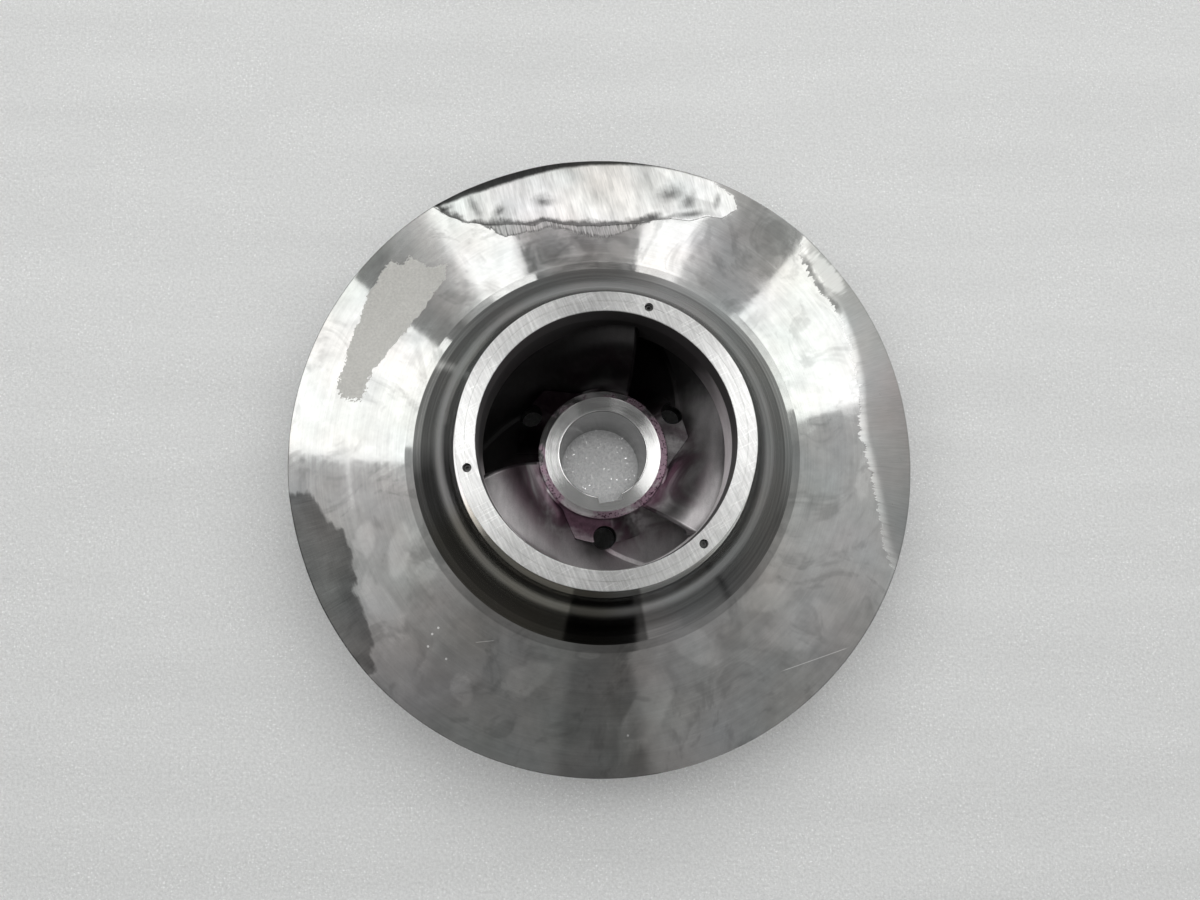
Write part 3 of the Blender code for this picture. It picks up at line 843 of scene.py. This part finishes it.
def front_steel():
    skin = Surface("front_turned_steel", anisotropy=0.9)
    fine = skin.turned(0.0008, 5, 3, 0.6)
    streaks = skin.turned(0.0045, 24, 3, 0.7)
    clouds = skin.noise(16, 3, 0.55)
    smears = skin.noise(30, 3, 0.62, distortion=1.5)
    rag = skin.noise(260, 3, 0.65) - 0.5
    wide_rag = skin.noise(70, 2, 0.6) - 0.5
    saw = skin.noise(750, 2, 0.6) - 0.5
    low_end = skin.y.between(0.050, 0.026)
    patch_depth = skin.attribute("cast_patch") + rag * 4 + wide_rag * 4 + saw * (low_end * 7 + 2.5)
    cast = patch_depth.between(-0.2, 0.2)
    strokes = skin.brushed(14, 1050, 90, 3)
    bands = skin.brushed(14, 210, 42, 3)
    strokes_out = skin.turned(0.012, 1800, 3, 0.6)
    feather = skin.turned(0.020, 520, 2, 0.6) - 0.5
    torn = rag * 4 + wide_rag * 5
    top_depth = skin.attribute("ground_top") + torn
    step_depth = skin.attribute("ground_step") + torn + (strokes - 0.5) * 3
    top = top_depth.between(-0.25, 0.25)
    step = step_depth.between(-0.25, 0.25) * (1 - top)
    rolled = (skin.attribute("rolled_edge") + (strokes - 0.5) * 1.6 + rag).between(-0.5, 1.6)
    right_depth = skin.attribute("ground_right") + feather * 9 + rag * 1.5
    right = right_depth.between(-0.3, 0.5)
    left_depth = skin.attribute("ground_left")
    left = (left_depth + rag * 2.5 + wide_rag * 6 + (streaks - 0.5) * 5).between(-1.2, 1)
    layered = top_depth + wide_rag * 4 + (strokes - 0.5) * 2
    # The lower border of the ground areas: a torn burr, and painted shade along the step below it
    burr_and_edge_shade = top_depth.between(-0.6, 0.3) * layered.between(3.9, 0.8) * skin.x.between(0.052, 0.020)
    burr_and_edge_shade = burr_and_edge_shade.math("MAXIMUM", step_depth.between(-0.4, 0.2) * step_depth.between(1.6, 0.5) * (1 - top) * 0.5)
    dents = (skin.attribute("dents") + rag * 0.7 + (bands - 0.5) * 0.8).between(0, 1)
    fogged = (skin.attribute("fogged") + (smears - 0.5) * 0.9).between(0, 0.35)
    shaded = (skin.attribute("shaded") + rag * 0.5).between(-0.1, 0.7)
    ground = top.math("MAXIMUM", right).math("MAXIMUM", step)

    dirt = skin.noise(26, 3, 0.68, distortion=2).between(0.50, 0.66)
    shade = fine * 0.09 + clouds * 0.15 + smears * 0.19 + streaks * 0.12 + 0.10 + fogged * 0.08
    shade = (shade + (skin.noise(130, 3, 0.7) - 0.5) * 0.14) * (1 - dirt * 0.22)
    # Painted shade: the facets inside the shoulder are painted darker on the south side
    painted_shoulder_shade = skin.radius.between(SHOULDER_RADIUS, SHOULDER_RADIUS - 0.0006) * skin.y.between(0.030, -0.020)
    shade = shade * (1 - painted_shoulder_shade * 0.26)
    for place in SPECKS:
        shade = shade + skin.speck(place, 0.7) * (rag + 0.9)
    for start, end in SCRATCHES:
        shade = shade + skin.scratch(start, end, 0.35) * 0.35
    sweep = skin.radius.between(0.0953, 0.0949)
    rings = skin.turned(0.0016, 2.5, 3, 0.7, 0.6)
    southward = skin.y / skin.radius
    # Painted dark reflection: the sweep is painted darker in a narrow wedge to the south
    painted_dark_reflection = (southward * -1 + skin.x / skin.radius * 0.009).between(0.9730, 0.9780)
    sweep_shade = (rings * 0.40 + streaks * 0.10 + clouds * 0.12 + 0.01) * (1 - painted_dark_reflection * 0.6)
    # Painted shade on the south-west of the sweep, which also carries a brown tint there
    painted_shade_and_brown = sweep * (southward * -0.85 - skin.x / skin.radius * 0.53).between(0.76, 0.90)
    sweep_shade = sweep_shade * (1 - painted_shade_and_brown * (clouds * 0.3 + 0.16))
    shade = sweep.mixed(shade, sweep_shade)
    mottled = skin.noise(55, 3, 0.65)
    top_shade = strokes * 0.46 + bands * 0.60 + mottled * 0.30 - dents * 0.36 - 0.02
    # Painted dark reflection: the rolled edge along the rim is painted dark
    top_shade = top_shade * (1 - rolled * 0.86)
    shade = top.mixed(shade, top_shade)
    shade = step.mixed(shade, strokes * 0.80 - 0.12)
    shining = (skin.attribute("shining") + feather * 0.8).between(0, 0.4)
    # Painted highlight: a bright line along the inner border of the right ground area
    painted_highlight_line = right_depth.between(-0.4, 0.8) * right_depth.between(6.5, 1.5)
    right_shade = strokes_out * 0.20 + feather * (painted_highlight_line * 0.45 + 0.08) + mottled * 0.16 + shining * 0.36 + painted_highlight_line * 0.06
    right_shade = right_shade + 0.30
    right_shade = right_shade * (1 - shaded * 0.65)
    shade = right.mixed(shade, right_shade)
    # Painted dark reflection: the left ground area is painted dark, a little lighter towards the rim
    left_shade = fine * 0.06 + strokes_out * 0.14 + clouds * 0.16 + smears * 0.14 - 0.12
    left_shade = left_shade + left_depth.between(2, 16) * 0.05
    shade = left.mixed(shade, left_shade)
    # Darkens the burr and the painted shade along the ground's lower border
    shade = shade * (1 - burr_and_edge_shade * 0.72)
    warm = skin.noise(22, 2, 0.6) - 0.5
    pink = skin.noise(14, 2, 0.6) - 0.5
    brown = painted_shade_and_brown * clouds * 0.10
    steel = skin.tinted(shade, warm * 0.17 + brown + 1, 1 - pink * 0.11, 0.985 - warm * 0.08 - brown * 2.2)
    grain = skin.noise(800, 2, 0.7)
    patch_shade = grain * 0.36 + clouds * 0.10 + smears * 0.10 + 0.31
    color = skin.mixed_color(cast, steel, skin.tinted(patch_shade, 1, 0.99, 0.95))
    face = skin.z.between(RING_FACE - 0.0006, RING_FACE - 0.0003)
    face_shade, face_rough = faced(skin)
    color = skin.mixed_color(face, color, skin.tinted(face_shade))
    eye_wall = skin.radius.between(EYE_RADIUS + 0.0012, EYE_RADIUS + 0.0006) * (1 - face)
    wall_shade = skin.z.between(0.1000, 0.1004).mixed(passage_shade(skin), clouds * 0.10 + 0.05)
    color = skin.mixed_color(eye_wall, color, skin.tinted(wall_shade, 1, 0.95, 0.97))
    skin.color(color)
    skin.give("Metallic", 1 - cast * 0.7)

    rough = fine * 0.03 + streaks.between(0.45, 0.75) * 0.05 + smears.between(0.42, 0.72) * 0.08 + 0.055
    rough = rough + fogged * 0.05
    rough = sweep.mixed(rough, rings * 0.09 + 0.07)
    rough = ground.mixed(rough, strokes * 0.12 + burr_and_edge_shade * 0.15 + 0.24)
    rough = left.mixed(rough, fine * 0.05 + 0.12)
    rough = cast.mixed(rough, grain * 0.1 + 0.5)
    rough = face.mixed(rough, face_rough)
    skin.roughness(eye_wall.mixed(rough, clouds * 0.1 + 0.42))
    outward_grooves = skin.combined(skin.x, skin.y, skin.radius * -0.15)
    skin.give("Tangent", skin.mixed_color(ground, skin.grooves, outward_grooves))

    plain_top = skin.attribute("ground_top").between(-0.3, 0.3)
    plain_right = skin.attribute("ground_right").between(-0.3, 0.3)
    waves = skin.noise(60, 2, 0.55)
    raised = skin.brushed(14, 1050, 90, 1)
    raised_out = skin.turned(0.012, 1800, 1, 0.6)
    height = waves * 0.000020 + plain_top * (raised * 0.000012 + waves * 0.00006)
    skin.relief(height + plain_right * raised_out * 0.000006 - plain_top * 0.00010)
    return skin.material


def faced(skin):
    """Shade and roughness of the scuffed end faces."""
    fine = skin.turned(0.0005, 8, 3, 0.6, 0)
    clouds = skin.noise(90, 4, 0.6)
    scuffs = skin.brushed(25, 900, 70, 3, 0.7)
    scratches = skin.brushed(-62, 1100, 60, 2, 0.7)
    worn = scuffs.between(0.35, 0.75) * 0.22 + scratches.between(0.55, 0.70) * 0.14
    return fine * 0.16 + clouds * 0.26 + worn + 0.36, clouds * 0.14 + scuffs * 0.12 + 0.26


def ring_steel():
    skin = Surface("ring_faced_steel", anisotropy=0.9)
    shade, rough = faced(skin)
    skin.color(skin.tinted(shade))
    skin.roughness(rough)
    skin.relief(skin.turned(0.0005, 8, 3, 0.6, 0) * 0.000003 + skin.noise(90, 4, 0.6) * 0.00001)
    return skin.material


def hub_steel():
    skin = Surface("nose_faced_steel", anisotropy=0.95)
    fine = skin.turned(0.0006, 4, 3, 0.6, 0)
    clouds = skin.noise(120, 4, 0.6)
    shade = fine * 0.16 + clouds * 0.14 + 0.46
    # Painted shade: the bore's wall is painted much darker than the nose, with turned bands
    bore = skin.radius.between(BORE_RADIUS + 0.0004, BORE_RADIUS)
    bands = skin.turned(0.0050, 1, 3, 0.6)
    shade = bore.mixed(shade, fine * 0.08 + bands * 0.24 + 0.04)
    chamfer = skin.radius.between(0.0292, 0.0298) * skin.z.between(0.0500, 0.0560)
    side = (skin.x * 0.8 - skin.y * 0.6).between(-0.012, 0.024)
    stained = chamfer * (skin.noise(60, 4, 0.6) + side * 0.16).between(0.49, 0.60)
    specks = stained * skin.noise(900, 2, 0.6).between(0.56, 0.62)
    color = skin.mixed_color(stained * 0.65, skin.tinted(shade), skin.tinted(shade, 0.62, 0.30, 0.48))
    color = skin.mixed_color(specks, color, (0.05, 0.015, 0.035))
    skin.color(color)
    skin.roughness(fine * 0.05 + clouds * 0.05 + 0.08 + stained * 0.12)
    skin.relief(fine * 0.000002 + clouds * 0.000004)
    return skin.material


def passage_shade(skin):
    """Shade of the cast walls, darkest on the eye's north-west side, with oxide and dye there and painted shade."""
    grain = skin.noise(1500, 3, 0.6)
    clouds = skin.noise(60, 4, 0.6)
    scratches = skin.noise(1, 3, 0.7, stretch=(420, 90, 260))
    # Oxide and painted shade on the eye's north-west side
    oxide_and_shade = (skin.y * 0.92 - skin.x * 0.40 + clouds * 0.02 - 0.01).between(-0.012, 0.022)
    return (clouds * 0.28 + grain * 0.24 + scratches * 0.30 + 0.30) * (1 - oxide_and_shade * 0.93)


def cast_steel():
    skin = Surface("cast_steel")
    grain = skin.noise(1500, 3, 0.6)
    clouds = skin.noise(60, 4, 0.6)
    smears = skin.noise(35, 3, 0.6, distortion=1)
    shade = passage_shade(skin)
    ledge = skin.z.between(0.0572, 0.0577) * skin.z.between(0.0588, 0.0583)
    ledge = ledge * skin.radius.between(0.0460, 0.0455)
    dark = ledge * (clouds * 0.3 + skin.noise(420, 4, 0.7) * 0.5 + 0.30)
    # Painted shade: the walls of the balance holes are painted dark
    for place in BALANCE_PLACES:
        dx, dy = skin.x - place[0], skin.y - place[1]
        hole = (dx * dx + dy * dy).math("SQRT").between(BALANCE_HOLE + 0.0005, BALANCE_HOLE + 0.0001)
        dark = dark.math("MAXIMUM", hole * skin.z.between(0.0579, 0.0574) * 0.9)
    shade = shade * (1 - dark.clamped() * 0.96)
    near_hub = skin.radius.between(0.058, 0.036)
    shade = shade * (1 - near_hub * smears.between(0.30, 0.55) * 0.60)
    # Painted shade: the vanes' leading edges are painted darker, which hides their highlight
    turn = (skin.y.math("ARCTAN2", skin.x) + 6 * THIRD).math("MODULO", THIRD)
    ahead = turn - (skin.radius - HUB_RADIUS) * 4.5 - ROOT_EDGE_ANGLE
    painted_edge_shade = ahead.between(-0.075, -0.060) * ahead.between(0.016, 0.004) * skin.z.between(0.0585, 0.0600)
    painted_edge_shade = painted_edge_shade * skin.radius.between(HUB_RADIUS + 0.0003, HUB_RADIUS + 0.0015)
    shade = shade * (1 - painted_edge_shade * 0.62)
    dye = (near_hub * smears.between(0.40, 0.66) + ledge * skin.x.between(0.030, 0.010) * 0.5).clamped()
    color = skin.mixed_color(dye, skin.tinted(shade, 1, 0.96, 0.98), skin.tinted(shade, 0.60, 0.34, 0.47))
    skin.color(color)
    skin.roughness(clouds * 0.14 + painted_edge_shade * 0.20 + ledge * 0.12 + 0.35)
    skin.relief(grain * 0.00002 + clouds * 0.00008)
    return skin.material


def dark_steel():
    skin = Surface("screw_dark_steel")
    grain = skin.noise(3000, 3, 0.6)
    shade = grain * 0.06 + 0.07
    skin.color(skin.tinted(shade))
    skin.roughness(grain * 0.2 + 0.35)
    skin.relief(grain * 0.00001)
    return skin.material


def add_camera():
    data = bpy.data.cameras.new("camera")
    data.lens = CAMERA_LENS
    data.sensor_width = CAMERA_SENSOR
    data.clip_start = 0.01
    camera = linked("camera", data)
    across = Vector((cos(CAMERA_LEAN), sin(CAMERA_LEAN), 0.0))
    forward = across * sin(CAMERA_TILT) - Vector((0, 0, cos(CAMERA_TILT)))
    right = forward.cross(Vector((0, 1, 0))).normalized()
    up = right.cross(forward)
    camera.matrix_world = Matrix((
        (right.x, up.x, -forward.x, CAMERA_PLACE[0]),
        (right.y, up.y, -forward.y, CAMERA_PLACE[1]),
        (right.z, up.z, -forward.z, CAMERA_PLACE[2]),
        (0, 0, 0, 1),
    ))
    bpy.context.scene.camera = camera


def add_floor():
    half = FLOOR_WIDTH / 2
    corners = [(-half, -half, 0), (half, -half, 0), (half, half, 0), (-half, half, 0)]
    floor = mesh_object("floor", corners, [(0, 1, 2, 3)])
    skin = Surface("foam_sheet", metallic=0.0)
    grain = skin.noise(620.0, 2.0, 0.7)
    drift = skin.noise(30.0, 2.0, 0.6)
    sparkle = skin.noise(900.0, 1.0).between(0.60, 0.72) * (drift.between(0.35, 0.65) * 0.6 + 0.4)
    waves = skin.noise(1.0, 1.0, stretch=(5.0, 34.0, 0.0))
    shade = (grain - 0.5) * 0.40 + waves * 0.08 + 0.73 + sparkle * 0.26
    skin.color(skin.tinted(shade, 0.985, 0.995, 1.0))
    skin.give("Roughness", 0.5)
    # Painted light: the floor glows inside the bore, with glinting specks, and faintly beyond the rim
    glints = skin.noise(560.0, 2.0, 0.7).between(0.65, 0.71)
    painted_floor_glow = skin.radius.between(0.0300, 0.0120) * (grain * 0.26 + glints * 1.2 + 0.05)
    painted_floor_glow = painted_floor_glow + skin.radius.between(0.150, 0.200) * 0.03
    skin.give("Emission Strength", GLOW_UNIT)
    skin.give("Emission Color", skin.tinted(painted_floor_glow / GLOW_UNIT))
    skin.relief(grain * 0.0003 + waves * 0.0012)
    floor.data.materials.append(skin.material)


def add_glow(name, low, high, distance, stops):
    """A glowing band of a wide dome between two angles from overhead, whose glow runs between compass stops."""
    points, glow = [], []
    azimuths = [stop[0] for stop in stops]
    values = [stop[1] for stop in stops]
    between = np.arange(azimuths[0] + RIB, azimuths[-1], RIB)
    ribs = sorted({float(azimuth) for azimuth in (*azimuths, *between)})
    rows = max(2, ceil((high - low) / FACET))
    for azimuth in ribs:
        a = radians(azimuth)
        for j in range(rows + 1):
            b = radians(low + (high - low) * j / rows)
            direction = Vector((cos(a) * sin(b), sin(a) * sin(b), cos(b)))
            points.append(tuple(direction * distance + Vector((0, 0, RIM_TOP))))
            glow.append(BRIGHTNESS * float(np.interp(azimuth, azimuths, values)))
    band = mesh_object(name, points, grid(len(ribs), rows + 1, down_first=True))
    material = bpy.data.materials.new(name)
    material.use_nodes = True
    tree = material.node_tree
    tree.nodes.clear()
    output = tree.nodes.new("ShaderNodeOutputMaterial")
    emission = tree.nodes.new("ShaderNodeEmission")
    strength = BRIGHTNESS * values[0]
    if min(values) < max(values):
        store(band.data, "glow", glow)
        attribute = tree.nodes.new("ShaderNodeAttribute")
        attribute.attribute_name = "glow"
        strength = attribute.outputs["Fac"]
    tune(tree, emission, {"Color": (1.0, 1.0, 0.985), "Strength": strength})
    feed(tree, output.inputs["Surface"], emission.outputs[0])
    band.data.materials.append(material)
    band.visible_camera = False


# The panels stand before the walls of a wide dome, at these distances from the rim
PANELS = 3.9
WALLS = 4.0
FACET = 9
RIB = 6
# A strength this low keeps the floor out of the lamps that each point samples
GLOW_UNIT = 0.25
BRIGHTNESS = 1.65
WINDOW = 1.62
GLOWS = (
    ("window_left", 24, 50, PANELS, ((134.5, WINDOW), (168, WINDOW))),
    ("window_left_top", 7, 24, PANELS, ((134.5, 2.6), (168, 2.6))),
    ("window_upper_left", 20, 53, PANELS, ((105.5, WINDOW), (117, WINDOW), (119, 0.7), (128, 0.36))),
    ("window_upper_right", 20, 53, PANELS, ((62, 0.44), (68, 0.8), (70, WINDOW), (79.5, WINDOW))),
    ("window_right", 24, 51, PANELS, ((22, WINDOW), (52, WINDOW))),
    ("window_right_top", 7, 24, PANELS, ((22, 2.2), (52, 2.2))),
    ("dark_gap", 7, 16, PANELS - 0.02, ((56, 0.04), (112, 0.04))),
    ("overhead", 0, 9, WALLS, ((0, 0.20), (360, 0.20))),
    ("walls", 9, 47, WALLS, (
        (-60, 0.28), (-30, 0.31), (-12, 0.48), (18, 0.56), (52, 0.50), (67, 0.40), (80, 0.24), (104, 0.20),
        (118, 0.28), (135, 0.36), (168, 0.60), (200, 0.47), (214, 0.32), (226, 0.21), (250, 0.19), (261, 0.19),
        (264, 0.13), (283, 0.11), (285.5, 0.24), (300, 0.28),
    )),
    ("pale_wall", 40, 49, WALLS - 0.05, ((78, 0.80), (92, 0.95), (107, 0.95))),
    ("low_walls", 47, 70, WALLS, (
        (-60, 0.20), (-44, 0.15), (-42, 0.05), (-40, 0.12), (-12, 0.11), (18, 0.38), (70, 0.55), (84, 0.14),
        (130, 0.22), (142, 0.26), (144, 0.80), (146, 0.28), (168, 0.34), (180, 0.07), (240, 0.05), (257, 0.04),
        (259, 0.01), (283, 0.01), (285, 0.26), (300, 0.24),
    )),
    ("horizon", 70, 91, WALLS, (
        (-60, 0.12), (-44, 0.10), (-42, 0.03), (-40, 0.09), (10, 0.18), (70, 0.32), (90, 0.16), (130, 0.14),
        (142, 0.16), (144, 0.50), (146, 0.16), (170, 0.14), (180, 0.04), (257, 0.03), (259, 0.0), (283, 0.0),
        (285, 0.12), (300, 0.12),
    )),
)


def add_light():
    world = bpy.data.worlds.new("room")
    bpy.context.scene.world = world
    world.use_nodes = True
    background = world.node_tree.nodes["Background"]
    tune(world.node_tree, background, {"Color": (0.94, 0.97, 1.0), "Strength": 0.6})
    for glow in GLOWS:
        add_glow(*glow)


def finish_piece(piece, node, material):
    piece.data.materials.clear()
    piece.data.materials.append(material)
    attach(piece, "root")
    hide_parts(node)


def build_part():
    front, ring, nose, cast, dark = front_steel(), ring_steel(), hub_steel(), cast_steel(), dark_steel()
    finish_piece(front_shroud_piece(), "front_shroud", front)
    finish_piece(back_shroud_piece(), "back_shroud", cast)
    finish_piece(hub_piece(), "hub", nose)
    hole_top = RING_FACE + CUTTER_REACH
    front_ring = ring_piece("front_ring_faced", RING_SEAT, RING_FACE, RING_FACE - SCREW_HOLE_DEPTH, hole_top)
    finish_piece(front_ring, "front_wear_ring", ring)
    hole_top = BACK_RING_FACE + SCREW_HOLE_DEPTH
    back_ring = ring_piece("back_ring_faced", BACK_RING_FACE, BACK_RING_SEAT, BACK_RING_FACE - CUTTER_REACH, hole_top)
    finish_piece(back_ring, "back_wear_ring", ring)
    for k, piece in enumerate(vane_pieces()):
        finish_piece(piece, f"vane_{k + 1}", cast)
    for k, place in enumerate(SCREW_PLACES):
        top = RING_FACE - SCREW_RECESS
        screw = lock_screw_piece(f"front_screw_{k + 1}_socket", place, top - SCREW_LENGTH, top, True)
        finish_piece(screw, f"front_lock_screw_{k + 1}", dark)
        low = BACK_RING_FACE + SCREW_RECESS
        screw = lock_screw_piece(f"back_screw_{k + 1}_socket", place, low, low + SCREW_LENGTH, False)
        finish_piece(screw, f"back_lock_screw_{k + 1}", dark)


def main():
    bpy.context.scene.view_settings.view_transform = "Standard"
    add_camera()
    add_floor()
    add_light()
    build_part()


main()
